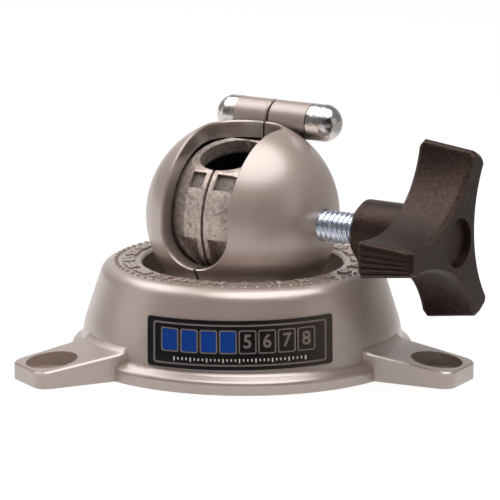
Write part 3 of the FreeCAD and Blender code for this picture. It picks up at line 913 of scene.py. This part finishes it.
def make_stage():
    """Plain pale floor, seen by glossy rays as a painted reflection."""
    mesh = bmesh.new()
    bmesh.ops.create_grid(mesh, x_segments=1, y_segments=1, size=FLOOR_HALF)
    data = bpy.data.meshes.new("floor")
    mesh.to_mesh(data)
    mesh.free()
    floor = bpy.data.objects.new("floor", data)
    bpy.context.scene.collection.objects.link(floor)
    floor.location.z = -FLOOR_DROP
    data.materials.append(floor_paper())


# ---- Light ----
# A lamp is (name, place, size, power). The world is brighter behind the part than in front of it.

LAMP_TARGET = Vector((0, 0, 0.03))
LAMPS = (
    ("soft_box", (0.14, -0.18, 0.80), (1.05, 0.85), 7.4),
    ("left_fill", (-0.74, 0.04, 0.22), (0.45, 0.45), 0.3),
    ("left_top", (-0.50, 0.14, 0.64), (0.52, 0.50), 1.6),
    ("back_top", (-0.34, 0.44, 0.66), (0.46, 0.42), 1.0),
    ("right_fill", (0.74, -0.30, 0.26), (0.50, 0.50), 0.25),
)
WORLD_STRENGTH = 0.8
WORLD_WHITE = (1, 0.99, 0.985, 1)
WORLD_TONES = [
    (0.0, (0.13, 0.13, 0.13)),
    (0.35, (0.17, 0.167, 0.165)),
    (0.55, (0.26, 0.255, 0.25)),
    (0.78, (0.28, 0.275, 0.27)),
    (0.95, (0.48, 0.47, 0.465)),
    (0.985, (0.95, 0.94, 0.93)),
]
DARK_AZIMUTH = math.radians(-60)
DARK_ELEVATION = math.radians(28)
DARK_OUTER = math.radians(30)
DARK_INNER = math.radians(20)
DARK_SHARE = 0.05


def add_lamp(name, place, size, power):
    """Oval area light at place, aimed at the part."""
    data = bpy.data.lights.new(name, "AREA")
    data.shape = "ELLIPSE"
    data.size, data.size_y = size
    data.energy = power
    light = bpy.data.objects.new(name, data)
    bpy.context.scene.collection.objects.link(light)
    light.location = place
    light.rotation_euler = (LAMP_TARGET - Vector(place)).to_track_quat("-Z", "Y").to_euler()


def dark_share(tree, toward):
    """Share of light left in the world: next to none in a round patch high at the front right."""
    middle = (
        math.cos(DARK_ELEVATION) * math.cos(DARK_AZIMUTH),
        math.cos(DARK_ELEVATION) * math.sin(DARK_AZIMUTH),
        math.sin(DARK_ELEVATION),
    )
    nearness = vector_math(tree, "DOT_PRODUCT", toward, middle)
    return map_range(tree, nearness, (math.cos(DARK_OUTER), math.cos(DARK_INNER)), (1, DARK_SHARE))


def make_world():
    """World that is white to the camera, and to all else a plain room with a dark patch."""
    world = bpy.data.worlds.new("world")
    bpy.context.scene.world = world
    world.use_nodes = True
    tree = world.node_tree
    toward = position(tree, "Generated")
    tones = ramp(tree, map_range(tree, along_axis(tree, toward, "Y"), (-1, 1), SHARE_SPAN), WORLD_TONES)
    room = tree.nodes["Background"]
    room.inputs["Strength"].default_value = WORLD_STRENGTH
    tree.links.new(tinted(tree, tones, dark_share(tree, toward)), room.inputs["Color"])
    white = add_node(tree, "ShaderNodeBackground", Color=WORLD_WHITE)
    path = tree.nodes.new("ShaderNodeLightPath")
    surface = mix_shaders(tree, path.outputs["Is Camera Ray"], room.outputs[0], white.outputs[0])
    tree.links.new(surface, tree.nodes["World Output"].inputs["Surface"])


def make_light():
    """Soft box overhead, four weaker lamps and the world."""
    for name, place, size, power in LAMPS:
        add_lamp(name, place, size, power)
    make_world()


# ---- The scene ----


def dress(node, material):
    """Give a CAD node its finished material."""
    data = nodes[node].data
    data.materials.clear()
    data.materials.append(material)


make_camera()
make_stage()
make_light()

base_paint = cast_paint("satin_base_paint", BASE_RECESS_SHADE, True, BASE_COAT)
ball_paint = cast_paint("satin_ball_paint", BALL_RECESS_SHADE, False, BALL_COAT)
raw = raw_casting()
plating = chrome()
dress("base_casting", base_paint)
for name in ("core_half_left", "core_half_right"):
    dress(name, raw)
for name in ("tie_screw", "tie_nut"):
    dress(name, plating)
dress("thrust_pad", brass())
dress("knob", knob_plastic())
dress("name_plate", plate_film())

make_ball_half("left", -1, ball_paint)
make_ball_half("right", 1, ball_paint)
make_stud()
make_rim_scale()
make_plate_print()

bpy.context.scene.view_settings.view_transform = "Standard"
